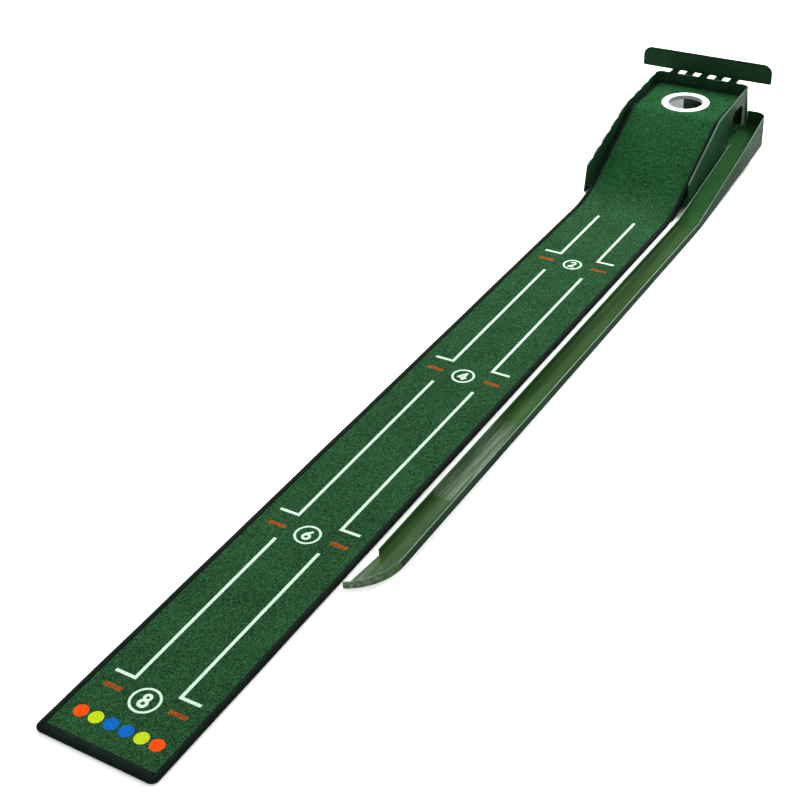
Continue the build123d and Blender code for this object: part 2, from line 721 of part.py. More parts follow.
def make_entry():
    """The sloping chute beside the ramp, hooked into the outlet, with its tall curved rear wall."""
    front = TRACK_JOINT + SECTION_GAP
    rear = ENTRY_REAR
    outer = from_above(
        [(TRACK_LEFT, front), (TRACK_RIGHT, front), (TRACK_RIGHT, rear), (TRACK_LEFT, rear)],
        [0, 0, ENTRY_CORNER, 0],
        -5,
        170,
    )
    inner = from_above(
        [
            (TRACK_LEFT - 5, front - 5),
            (TRACK_RIGHT - TRACK_WALL, front - 5),
            (TRACK_RIGHT - TRACK_WALL, rear - TRACK_WALL),
            (TRACK_LEFT - 5, rear - TRACK_WALL),
        ],
        [0, 0, ENTRY_CORNER - TRACK_WALL, 0],
        -10,
        175,
    )
    top_end = ENTRY_TOPS[-1][1] + 1
    wall_profile = from_side(
        [
            (front, entry_skirt(front)),
            *ENTRY_TOPS,
            (rear + 5, top_end),
            (rear + 5, entry_skirt(rear + 5)),
        ],
        [0, 3, 500, 60, 0, 0],
        TRACK_LEFT - 30,
        TRACK_RIGHT + 5,
    )
    entry = (outer - inner) & wall_profile
    floor_slab = from_side(
        entry_floor_line(ENTRY_FLOOR_THICK) + entry_floor_line(0)[::-1],
        [0, 600, 0, 0, 600, 0],
        TRACK_LEFT - 30,
        TRACK_RIGHT + 5,
    )
    floor_slab &= block(0, WIDE * 2, front, rear, 0, REAR_TOP)
    shell_side = RECESS_X + ENTRY_SIDE_GAP
    apron = from_above(
        [
            (TRACK_LEFT, front),
            (TRACK_RIGHT - 1, front),
            (TRACK_RIGHT - 1, rear - 1),
            (shell_side, rear - 1),
            (shell_side, APRON_FRONT),
            (TRACK_LEFT, APRON_FRONT),
        ],
        [0, 0, ENTRY_CORNER - 1, 8, RECESS_CORNER, 0],
        -5,
        170,
    )
    entry += floor_slab & apron
    left_low, left_high = ENTRY_LEFT_TOPS
    left_wall = from_side(
        [
            (front, entry_skirt(front)),
            (front, left_low),
            (ENTRY_LEFT_END, left_high),
            (ENTRY_LEFT_END, entry_skirt(ENTRY_LEFT_END)),
        ],
        [0, 3, 5, 0],
        TRACK_LEFT,
        TRACK_LEFT + TRACK_WALL,
    )
    entry += left_wall
    y0, y1 = HOOK_Y
    sill = OUTLET_Z[0]
    bridge_low = sill + CLEARANCE
    bridge_high = bridge_low + HOOK_THICK
    leg_x = RECESS_X - WALL - HOOK_RUN
    riser = block(shell_side, shell_side + HOOK_THICK, y0, y1, RISER_LOW, bridge_high)
    bridge = block(leg_x, shell_side + 1, y0, y1, bridge_low, bridge_high)
    leg = block(leg_x, leg_x + HOOK_THICK, y0, y1, sill - HOOK_DROP, sill + 1)
    return entry + riser + bridge + leg


backing, pile, binding = make_mat()
span_start = 0
for span, span_end in BACKING_SPANS.items():
    save(f"mat_backing_{span}", backing & block(-WIDE, WIDE, span_start, span_end, -1, REAR_TOP))
    span_start = span_end
save("turf_pile", pile)
save("edge_binding", binding)
save("hook_tapes", make_tapes())
save("ramp_shell", make_shell())
save("ramp_feet", make_feet())
save("ramp_deck", make_deck())
save("deck_ribs", make_ribs())
save("deck_screws", make_deck_screws())
save("cup_ring", make_ring())
save("cup_liner", make_liner())
save("ball_chute", make_chute())
save("chute_screws", make_chute_screws())
save("backstop", make_backstop())
save("track_entry", make_entry())
for number in range(SECTIONS):
    save(f"track_section_{number + 1}", make_section(TRACK_JOINT - number * SECTION))
save("track_end", make_end(TRACK_JOINT - SECTIONS * SECTION))
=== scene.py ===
import math
import random

import bmesh
import bpy
from mathutils import Matrix, Vector
from mathutils.geometry import delaunay_2d_cdt


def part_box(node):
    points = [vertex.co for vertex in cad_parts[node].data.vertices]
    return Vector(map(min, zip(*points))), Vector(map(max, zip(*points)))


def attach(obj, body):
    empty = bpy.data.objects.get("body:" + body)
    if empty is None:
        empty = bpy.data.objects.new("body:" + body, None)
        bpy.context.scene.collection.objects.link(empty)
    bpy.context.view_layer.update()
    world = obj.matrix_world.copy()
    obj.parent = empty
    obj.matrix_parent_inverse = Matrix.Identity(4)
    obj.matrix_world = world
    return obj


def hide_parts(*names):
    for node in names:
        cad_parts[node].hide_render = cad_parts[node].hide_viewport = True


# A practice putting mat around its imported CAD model. Metres, +Z up, +Y from the player to the cup.

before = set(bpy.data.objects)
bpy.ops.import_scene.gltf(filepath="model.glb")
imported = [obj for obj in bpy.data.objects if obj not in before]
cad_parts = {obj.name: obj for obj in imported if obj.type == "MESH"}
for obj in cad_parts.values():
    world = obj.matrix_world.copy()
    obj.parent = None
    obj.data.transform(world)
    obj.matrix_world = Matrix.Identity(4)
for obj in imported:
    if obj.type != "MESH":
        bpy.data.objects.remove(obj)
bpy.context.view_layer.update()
MM = 0.001
TRACK_NODES = ("track_entry", "track_section_1", "track_section_2", "track_section_3", "track_end")
BACKING_NODES = ("mat_backing_floor", "mat_backing_foot", "mat_backing_slope", "mat_backing_top")

# ---------------------------------------------------------------- places, from the frame

BIND_LOW, BIND_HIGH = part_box("edge_binding")
PILE_LOW, PILE_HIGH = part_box("turf_pile")
RING_LOW, RING_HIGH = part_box("cup_ring")
SHELL_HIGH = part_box("ramp_shell")[1]
TRACK_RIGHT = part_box("track_section_1")[1].x
CENTRE_X = (BIND_LOW.x + BIND_HIGH.x) / 2
NEAR_Y = BIND_LOW.y
MAT_HALF = (BIND_HIGH.x - BIND_LOW.x) / 2
PILE_HALF = (PILE_HIGH.x - PILE_LOW.x) / 2
CUP_Y = (RING_LOW.y + RING_HIGH.y) / 2
BACKING = 3 * MM
PILE_TOP = 8 * MM
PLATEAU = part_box("mat_backing_top")[1].z - BACKING

# The mat's underside runs along the floor, up a slope and over a plateau, joined by two arcs.
RISE_START = NEAR_Y + 2.5
RISE_RUN = 0.332
SLOPE = math.atan2(PLATEAU, RISE_RUN)
FOOT_RADIUS = 0.34
CREST_RADIUS = 0.05
FOOT_TANGENT = FOOT_RADIUS * math.tan(SLOPE / 2)
CREST_TANGENT = CREST_RADIUS * math.tan(SLOPE / 2)
FLOOR_END = RISE_START - FOOT_TANGENT - NEAR_Y
FOOT_END = FLOOR_END + FOOT_RADIUS * SLOPE
SLOPE_END = FOOT_END + math.hypot(RISE_RUN, PLATEAU) - FOOT_TANGENT - CREST_TANGENT
CREST_END = SLOPE_END + CREST_RADIUS * SLOPE
PLATEAU_Y = RISE_START + RISE_RUN + CREST_TANGENT
MAT_LENGTH = CREST_END + BIND_HIGH.y - PLATEAU_Y


def course(s, height):
    """(y, z) of the point s along the mat's underside from its near end, raised square to it by height."""
    if s < FLOOR_END:
        return NEAR_Y + s, height
    if s < FOOT_END:
        turn = (s - FLOOR_END) / FOOT_RADIUS
        reach = FOOT_RADIUS - height
        return NEAR_Y + FLOOR_END + reach * math.sin(turn), FOOT_RADIUS - reach * math.cos(turn)
    if s < SLOPE_END:
        y, z = course(FOOT_END - 1e-9, height)
        return y + (s - FOOT_END) * math.cos(SLOPE), z + (s - FOOT_END) * math.sin(SLOPE)
    if s < CREST_END:
        turn = (CREST_END - s) / CREST_RADIUS
        reach = CREST_RADIUS + height
        return PLATEAU_Y - reach * math.sin(turn), PLATEAU - CREST_RADIUS + reach * math.cos(turn)
    return PLATEAU_Y + s - CREST_END, PLATEAU + height


def course_at(y):
    """How far along the mat's underside the plateau's point y is."""
    return CREST_END + y - PLATEAU_Y


def on_mat(x, s, height):
    """A point on the mat: x from its centreline, s along it, height above its underside."""
    y, z = course(s, height)
    return Vector((CENTRE_X + x, y, z))


CUP_S = course_at(CUP_Y)


# ---------------------------------------------------------------- node and mesh helpers


class Shader:
    """A material under construction: add() makes a node, and sockets given as inputs are linked."""

    def __init__(self, name):
        self.material = bpy.data.materials.new(name)
        self.material.use_nodes = True
        self.tree = self.material.node_tree
        self.tree.nodes.clear()
        self.output = self.tree.nodes.new("ShaderNodeOutputMaterial")

    def add(self, kind, inputs=None, **settings):
        node = self.tree.nodes.new("ShaderNode" + kind)
        for key, value in settings.items():
            setattr(node, key, value)
        for key, value in (inputs or {}).items():
            if isinstance(value, bpy.types.NodeSocket):
                self.tree.links.new(value, node.inputs[key])
            else:
                node.inputs[key].default_value = value
        return node

    def place(self, stretch=(1, 1, 1)):
        """Object coordinates, in metres, stretched along each axis."""
        coordinates = self.add("TexCoord").outputs["Object"]
        return self.add("Mapping", {"Vector": coordinates, "Scale": stretch}).outputs[0]

    def noise(self, scale, detail=2.0, roughness=0.5, where=None, distortion=0.0):
        """Noise from 0 to 1; scale is in waves a metre."""
        inputs = {"Vector": where or self.place(), "Scale": scale, "Detail": detail}
        inputs.update({"Roughness": roughness, "Distortion": distortion})
        return self.add("TexNoise", inputs).outputs["Fac"]

    def cells(self, scale, where=None, feature="F1", output="Distance"):
        """Voronoi cells; scale is in cells a metre."""
        inputs = {"Vector": where or self.place(), "Scale": scale}
        return self.add("TexVoronoi", inputs, feature=feature).outputs[output]

    def math(self, operation, a, b=0.0, c=0.0):
        node = self.add("Math", {0: a, 1: b, 2: c}, operation=operation)
        return node.outputs[0]

    def span(self, value, from_low, from_high, to_low, to_high):
        """A value mapped from one range to another and kept inside it."""
        inputs = {0: value, 1: from_low, 2: from_high, 3: to_low, 4: to_high}
        return self.add("MapRange", inputs).outputs[0]

    def ramp(self, value, stops):
        """A colour ramp with stops of (position, colour)."""
        node = self.add("ValToRGB", {"Fac": value})
        elements = node.color_ramp.elements
        while len(elements) < len(stops):
            elements.new(0.5)
        for element, (position, colour) in zip(elements, stops):
            element.position = position
            element.color = (*colour, 1)
        return node.outputs["Color"]

    def mix(self, factor, a, b, blend="MIX"):
        """Two colours mixed; each is a socket or a colour."""
        node = self.add("Mix", data_type="RGBA", blend_type=blend)
        for key, value in ((0, factor), (6, a), (7, b)):
            if isinstance(value, bpy.types.NodeSocket):
                self.tree.links.new(value, node.inputs[key])
            elif key == 0:
                node.inputs[key].default_value = value
            else:
                node.inputs[key].default_value = (*value, 1)
        return node.outputs[2]

    def bump(self, height, strength, distance):
        inputs = {"Height": height, "Strength": strength, "Distance": distance}
        return self.add("Bump", inputs).outputs[0]

    def finish(self, **inputs):
        """The principled surface; names have underscores for spaces."""
        named = {key.replace("_", " "): value for key, value in inputs.items()}
        surface = self.add("BsdfPrincipled", named).outputs[0]
        self.tree.links.new(surface, self.output.inputs["Surface"])
        return self.material


def scaled(colour, factor):
    return tuple(channel * factor for channel in colour)


def mesh_object(name, points, faces, materials, indices=None, smooth=True):
    """A new object from points and faces, with materials and a material index for each face."""
    mesh = bpy.data.meshes.new(name)
    mesh.from_pydata([tuple(p) for p in points], [], faces)
    for material in materials:
        mesh.materials.append(material)
    if indices:
        mesh.polygons.foreach_set("material_index", indices)
    mesh.polygons.foreach_set("use_smooth", [smooth] * len(mesh.polygons))
    mesh.update()
    made = bpy.data.objects.new(name, mesh)
    bpy.context.scene.collection.objects.link(made)
    return made


# ---------------------------------------------------------------- materials

# Colours are linear. The two tints are painted shade: they multiply the turf's colour on the ramp and the
# track's at its landing.
TURF = (0.0088, 0.0370, 0.0124)
RAMP_SHADE_TINT = (0.64, 0.96, 0.82)
PRINT_WHITE = (0.47, 0.62, 0.50)
PRINT_ORANGE = (0.175, 0.043, 0.006)
SHAPE_ORANGE = (0.66, 0.055, 0.002)
SHAPE_LIME = (0.36, 0.48, 0.008)
SHAPE_BLUE = (0.003, 0.090, 0.36)
BINDING_BLACK = (0.0026, 0.0062, 0.0046)
MOULDING = (0.0062, 0.0265, 0.0108)
EDGE_HIGHLIGHT = (0.055, 0.095, 0.070)
TRACK_SHADE = (0.014, 0.030, 0.017)
TRACK_HIGHLIGHT = (0.15, 0.19, 0.15)
TRACK_GREEN = (0.022, 0.056, 0.015)
ENTRY_GREEN = (0.0175, 0.0665, 0.0185)
LANDING_SHADE_TINT = (0.38, 0.46, 0.53)
RAMP_BLEND = (RISE_START - 20 * MM, RISE_START + 80 * MM)
LANDING_BLEND = 160 * MM
TUFTS = 520
PILE_RANGE = 0.7
WEAVE = 95.0


def pile_material(name, colour, contrast):
    """Short dense pile: each tuft has its own shade, with painted shade in the gaps and painted highlights
    on the fibre ends, and a painted shade that darkens the turf on the ramp."""
    shader = Shader(name)
    where = shader.place()
    shade = shader.cells(TUFTS, where, output="Color")
    gaps = shader.cells(TUFTS, where)
    curls = shader.noise(820, 4.0, 0.75, where, 1.2)
    patches = shader.noise(7, 3.0, 0.55, where)
    # Painted shade: the tone darkens towards the gaps between tufts.
    tuft = shader.math("MULTIPLY_ADD", gaps, -0.35, shade)
    fibres = shader.math("MULTIPLY_ADD", curls, 0.9, tuft)
    tone = shader.math("MULTIPLY_ADD", patches, 0.35, fibres)
    # The highest stops give the painted highlights on the fibre ends.
    stops = [
        (0.55, scaled(colour, 1 - contrast)),
        (0.85, scaled(colour, 0.92)),
        (1.05, scaled(colour, 1 + contrast)),
        (1.30, scaled(colour, 1 + 2.4 * contrast)),
    ]
    # The tone goes past 1, so it and the stops are brought inside the colour ramp's range.
    fitted = [(at * PILE_RANGE, stop) for at, stop in stops]
    base = shader.ramp(shader.math("MULTIPLY", tone, PILE_RANGE), fitted)
    # The ramp's painted shade: past the ramp's foot the colour is multiplied by the ramp tint.
    along = shader.add("SeparateXYZ", {0: where}).outputs["Y"]
    ramp_shade = shader.span(along, *RAMP_BLEND, 0.0, 1.0)
    base = shader.mix(ramp_shade, base, shader.mix(1.0, base, RAMP_SHADE_TINT, "MULTIPLY"))
    normal = shader.bump(fibres, 0.8, 1.4 * MM)
    return shader.finish(Base_Color=base, Roughness=0.95, Normal=normal, Specular_IOR_Level=0.03)


def binding_material():
    """Overlocked yarn: near black with a green cast, faint fibre along each stitch."""
    shader = Shader("overlock_yarn")
    fibre = shader.noise(900, 2.0, 0.6, shader.place((1, 0.35, 1)))
    wear = shader.noise(26, 3.0, 0.6)
    tone = shader.math("MULTIPLY_ADD", wear, 0.6, fibre)
    stops = [(0.45, scaled(BINDING_BLACK, 0.5)), (0.75, BINDING_BLACK), (1.0, scaled(BINDING_BLACK, 1.7))]
    base = shader.ramp(tone, stops)
    normal = shader.bump(fibre, 0.5, 0.5 * MM)
    return shader.finish(Base_Color=base, Roughness=0.8, Normal=normal, Specular_IOR_Level=0.035)


def backing_material():
    """The mat's underside: dark rubber with a pressed weave."""
    shader = Shader("rubber_weave")
    bands = {"Vector": shader.place(), "Scale": WEAVE}
    across = shader.add("TexWave", bands, bands_direction="X").outputs["Fac"]
    along = shader.add("TexWave", bands, bands_direction="Y").outputs["Fac"]
    weave = shader.math("MULTIPLY", across, along)
    dust = shader.noise(35, 4.0, 0.6)
    tone = shader.math("MULTIPLY_ADD", dust, 0.5, weave)
    base = shader.ramp(tone, [(0.2, (0.008, 0.010, 0.009)), (0.9, (0.028, 0.032, 0.030))])
    normal = shader.bump(weave, 0.5, 0.5 * MM)
    return shader.finish(Base_Color=base, Roughness=0.75, Normal=normal, Specular_IOR_Level=0.3)


def moulded_material(name, colour, grain, roughness):
    """Moulded plastic: a pebble grain of a given depth, faint flow marks and handling wear."""
    shader = Shader(name)
    where = shader.place()
    pebble = shader.cells(420, where, "SMOOTH_F1")
    fine = shader.noise(1300, 2.0, 0.5, where)
    texture = shader.math("MULTIPLY_ADD", fine, 0.35, pebble)
    flow = shader.noise(7, 4.0, 0.55, where)
    scuff = shader.noise(60, 5.0, 0.7, where)
    tone = shader.math("MULTIPLY_ADD", scuff, 0.35, flow)
    base = shader.ramp(tone, [(0.35, scaled(colour, 0.78)), (0.7, colour), (0.95, scaled(colour, 1.4))])
    rough = shader.span(tone, 0.4, 1.0, roughness - 0.06, roughness + 0.1)
    normal = shader.bump(texture, grain, 0.4 * MM)
    return shader.finish(Base_Color=base, Roughness=rough, Normal=normal, Specular_IOR_Level=0.025)


def track_material(name, colour, highlight_from=None, highlight_to=None, landing=None, specular=0.02):
    """Glossy plastic with flow streaks along its length. Where these are given, it is paled by painted
    highlight streaks over a stretch of Y, and darkened by a painted shade past the landing's Y."""
    shader = Shader(name)
    flow = shader.noise(14, 3.0, 0.5, shader.place((1, 0.25, 1)))
    streak = shader.noise(150, 3.0, 0.6, shader.place((1, 0.04, 1)))
    tone = shader.math("MULTIPLY_ADD", streak, 0.3, flow)
    base = shader.ramp(tone, [(0.40, scaled(colour, 0.72)), (0.64, colour), (0.90, scaled(colour, 1.5))])
    # Painted highlight: pale streaks over the stretch of Y.
    if highlight_from is not None:
        along = shader.add("SeparateXYZ", {0: shader.place()}).outputs["Y"]
        up = shader.span(along, highlight_from - 30 * MM, highlight_from + 15 * MM, 0.0, 1.0)
        down = shader.span(along, highlight_to - 40 * MM, highlight_to + 60 * MM, 1.0, 0.0)
        stretch = shader.math("MULTIPLY", up, down)
        lines = shader.span(streak, 0.42, 0.72, 0.15, 1.0)
        base = shader.mix(shader.math("MULTIPLY", stretch, lines), base, TRACK_HIGHLIGHT)
    if landing is not None:
        # Painted shade: the colour is darker past the landing's Y.
        along = shader.add("SeparateXYZ", {0: shader.place()}).outputs["Y"]
        landing_shade = shader.span(along, landing, landing + LANDING_BLEND, 0.0, 1.0)
        base = shader.mix(landing_shade, base, shader.mix(1.0, base, LANDING_SHADE_TINT, "MULTIPLY"))
    rough = shader.span(streak, 0.3, 0.7, 0.18, 0.30)
    normal = shader.bump(flow, 0.12, 1.5 * MM)
    return shader.finish(Base_Color=base, Roughness=rough, Normal=normal, Specular_IOR_Level=specular)


def plain_plastic(name, colour, roughness, depth=0.1):
    """Smooth moulding with a slight waviness and colour drift."""
    shader = Shader(name)
    drift = shader.noise(22, 3.0, 0.55)
    base = shader.ramp(drift, [(0.3, scaled(colour, 0.93)), (0.7, scaled(colour, 1.04))])
    ripple = shader.noise(180, 2.0, 0.5)
    rough = shader.span(drift, 0.3, 0.7, roughness - 0.04, roughness + 0.05)
    normal = shader.bump(ripple, depth, 0.3 * MM)
    return shader.finish(Base_Color=base, Roughness=rough, Normal=normal)


def metal_material():
    """Zinc-plated screws with fine turning marks."""
    shader = Shader("zinc")
    marks = shader.noise(2600, 2.0, 0.6)
    base = shader.ramp(marks, [(0.3, (0.42, 0.43, 0.45)), (0.7, (0.62, 0.63, 0.64))])
    rough = shader.span(marks, 0.3, 0.7, 0.28, 0.42)
    normal = shader.bump(marks, 0.2, 0.1 * MM)
    return shader.finish(Base_Color=base, Roughness=rough, Metallic=1.0, Normal=normal)


PILE = pile_material("turf_pile", TURF, 0.75)
WHITE = pile_material("print_white", PRINT_WHITE, 0.12)
ORANGE = pile_material("print_orange", PRINT_ORANGE, 0.35)
BRIGHT_ORANGE = pile_material("print_bright_orange", SHAPE_ORANGE, 0.10)
LIME = pile_material("print_lime", SHAPE_LIME, 0.10)
BLUE = pile_material("print_blue", SHAPE_BLUE, 0.12)
TURF_MATERIALS = [PILE, WHITE, ORANGE, BRIGHT_ORANGE, LIME, BLUE]
YARN = binding_material()
RUBBER_WEAVE = backing_material()
GRAINED = moulded_material("grained_green", MOULDING, 0.55, 0.45)
SATIN = moulded_material("satin_green", scaled(MOULDING, 0.9), 0.16, 0.38)
TRACK = track_material("track_plastic", TRACK_GREEN)
# The outside of the track's right wall is darker: a painted shade on that side.
TRACK_OUTER_SHADE = track_material("track_outer_shade", TRACK_SHADE, specular=0.005)
# The entry's landing end takes the painted shade.
TRACK_ENTRY = track_material("track_entry", ENTRY_GREEN, landing=CUP_Y - 130 * MM)
# Section 3 carries a painted reflection: pale streaks over a stretch of Y.
TRACK_REFLECTED = track_material("track_reflection", TRACK_GREEN, NEAR_Y + 0.99, NEAR_Y + 1.28)
# The tip carries the same painted highlight streaks, where it looks lit through.
TRACK_TIP = track_material("track_tip", TRACK_GREEN, NEAR_Y + 0.55, NEAR_Y + 0.69)
# A lighter green on the shell's rim is a painted highlight.
RIM_HIGHLIGHT = moulded_material("rim_highlight", EDGE_HIGHLIGHT, 0.05, 0.28)
# The paler green on the track walls' tops is a painted highlight.
TRACK_EDGE_HIGHLIGHT = moulded_material("track_edge_highlight", scaled(EDGE_HIGHLIGHT, 2.2), 0.05, 0.22)
# The chute is green plastic made near black: a painted shade for its dark channel.
CHUTE_SHADE = plain_plastic("chute_shade_green", (0.005, 0.018, 0.009), 0.3)
RING_WHITE = plain_plastic("ring_white", (0.80, 0.81, 0.78), 0.4)
# The ring's throat is darker grey: a painted shade inside the hole.
RING_THROAT_SHADE = plain_plastic("ring_throat_shade", (0.20, 0.23, 0.21), 0.45)
LINER_GREY = plain_plastic("liner_grey", (0.62, 0.64, 0.63), 0.45)
FOOT_RUBBER = plain_plastic("foot_rubber", (0.018, 0.018, 0.018), 0.7, 0.3)
HOOK_TAPE = plain_plastic("hook_tape", (0.016, 0.017, 0.017), 0.85, 0.9)
ZINC = metal_material()


# ---------------------------------------------------------------- printed markings

# Distances across are from the centreline, and distances along are from the near end.
LINE_X = 58 * MM
LINE_WIDTH = 8 * MM
FOOT_OUT = 108 * MM
DASH_X = (60 * MM, 105 * MM)
DASH_WIDTH = 11.5 * MM
CIRCLE_STROKE = 5.5 * MM
NUMERAL = 1.08
# The near end's row of plain dots: its place and their radius, and each mirrored pair's place and colour.
DOT_ROW = 80 * MM
DOT_RADIUS = 16 * MM
DOTS = ((95 * MM, BRIGHT_ORANGE), (57 * MM, LIME), (19 * MM, BLUE))
# Each group: the number, its circle's place and radius, and the long lines' two ends.
GROUPS = (
    (8, 0.161, 0.0345, 0.197, 0.692),
    (6, 0.734, 0.032, 0.780, 1.398),
    (4, 1.451, 0.0305, 1.498, 2.038),
    (2, 2.098, 0.0275, 2.140, 2.405),
)


def rectangle(x0, x1, s0, s1):
    return [(x0, s0), (x1, s0), (x1, s1), (x0, s1)]


def circle(x, s, radius, count=48):
    turn = 2 * math.pi / count
    return [(x + radius * math.cos(i * turn), s + radius * math.sin(i * turn)) for i in range(count)]


def arc(x, s, radius, start, end, count=18):
    """Points along an arc, by angles in degrees."""
    points = []
    for i in range(count + 1):
        angle = math.radians(start + (end - start) * i / count)
        points.append((x + radius * math.cos(angle), s + radius * math.sin(angle)))
    return points


def ribbon(points, width):
    """The outline of a stroke of even width along points, with square ends."""
    left, right = [], []
    for i, (x, s) in enumerate(points):
        before = Vector(points[max(i - 1, 0)])
        after = Vector(points[min(i + 1, len(points) - 1)])
        along = (after - before).normalized()
        across = Vector((-along.y, along.x)) * width / 2
        left.append((x + across.x, s + across.y))
        right.append((x - across.x, s - across.y))
    return left + right[::-1]


def digit_shapes(number, x, s, size):
    """(filled outlines, holes) of a plain numeral 34 units high, centred at a point."""
    unit = size / 34
    pen = 6.4 * unit

    def spot(dx, ds, radius, count):
        return circle(x + dx * unit, s + ds * unit, radius * unit, count)

    if number == 8:
        filled = [spot(0, 8, 9.6, 36), spot(0, -7.4, 11.2, 36)]
        holes = [spot(0, 8, 3.4, 24), spot(0, -7.4, 4.4, 24)]
        return filled, holes
    if number == 6:
        stem = arc(x + 8.4 * unit, s - 6.4 * unit, 16.0 * unit, 172, 112)
        stem.append((x + 6.5 * unit, s + 13.6 * unit))
        return [spot(0, -6.4, 11.2, 36), ribbon(stem, pen)], [spot(0, -6.4, 4.4, 24)]
    if number == 4:
        low, high = s - 17 * unit, s + 17 * unit
        slant = [(x + 4.5 * unit, high - unit), (x - 10.5 * unit, s - 6.5 * unit)]
        bar = rectangle(x - 13.5 * unit, x + 12.5 * unit, s - 10.5 * unit, s - 4 * unit)
        stem = rectangle(x + unit, x + 8 * unit, low, high)
        return [ribbon(slant, pen * 0.9), bar, stem], []
    hook = arc(x, s + 7.5 * unit, 7.6 * unit, 170, -28)
    hook += [(x + 3.5 * unit, s - 1.5 * unit), (x - 8.0 * unit, s - 12.5 * unit)]
    base = rectangle(x - 10.8 * unit, x + 10.8 * unit, s - 17 * unit, s - 10.8 * unit)
    return [ribbon(hook, pen), base], []


def marking_shapes():
    """Every printed shape as (material, filled outlines, holes)."""
    shapes = []
    half = LINE_WIDTH / 2
    for number, place, radius, start, end in GROUPS:
        for side in (-1, 1):
            x = side * LINE_X
            shapes.append((WHITE, [rectangle(x - half, x + half, start, end)], []))
            inner, outer = sorted((x - side * half, side * FOOT_OUT))
            shapes.append((WHITE, [rectangle(inner, outer, start, start + LINE_WIDTH)], []))
            x0, x1 = sorted((side * DASH_X[0], side * DASH_X[1]))
            dash = rectangle(x0, x1, place - DASH_WIDTH / 2, place + DASH_WIDTH / 2)
            shapes.append((ORANGE, [dash], []))
        shapes.append((WHITE, [circle(0, place, radius)], [circle(0, place, radius - CIRCLE_STROKE)]))
        shapes.append((WHITE, *digit_shapes(number, 0, place, NUMERAL * radius)))
    for x, material in DOTS:
        for side in (-1, 1):
            shapes.append((material, [circle(side * x, DOT_ROW, DOT_RADIUS, 40)], []))
    return shapes


def inside(point, loop):
    """True if a point is inside a closed loop."""
    x, y = point
    found = False
    for (x0, y0), (x1, y1) in zip(loop, loop[1:] + loop[:1]):
        if (y0 > y) != (y1 > y) and x < x0 + (x1 - x0) * (y - y0) / (y1 - y0):
            found = not found
    return found


def limits(loops):
    """The box round closed loops: (lowest x, highest x, lowest y, highest y)."""
    points = [p for loop in loops for p in loop]
    xs, ys = [p[0] for p in points], [p[1] for p in points]
    return min(xs), max(xs), min(ys), max(ys)


# ---------------------------------------------------------------- turf

HOLE_RADIUS = 57.4 * MM
HOLE_MARGIN = 0.1 * MM
SETTLE = 0.35 * MM
SETTLE_FADE = 0.2
PILE_GAP = 0.05 * MM
SHARP = math.radians(40)


def steps(start, end, pitch):
    """Even steps from start to end, both included, about a pitch apart."""
    count = max(1, round((end - start) / pitch))
    return [start + (end - start) * i / count for i in range(count + 1)]


def settle(x, s):
    """How far the laid mat stands off flat, a little more along its edges."""
    edge = abs(x) / MAT_HALF
    wave = math.sin(s * 9.7 + 1.3) * math.sin(s * 4.1 + 0.4) + 0.5 * math.sin(s * 23.0 + x * 21.0)
    fade = max(0.0, min(1.0, (FLOOR_END - s) / SETTLE_FADE))
    return SETTLE * (0.3 + edge) * (wave + 1.2) * fade


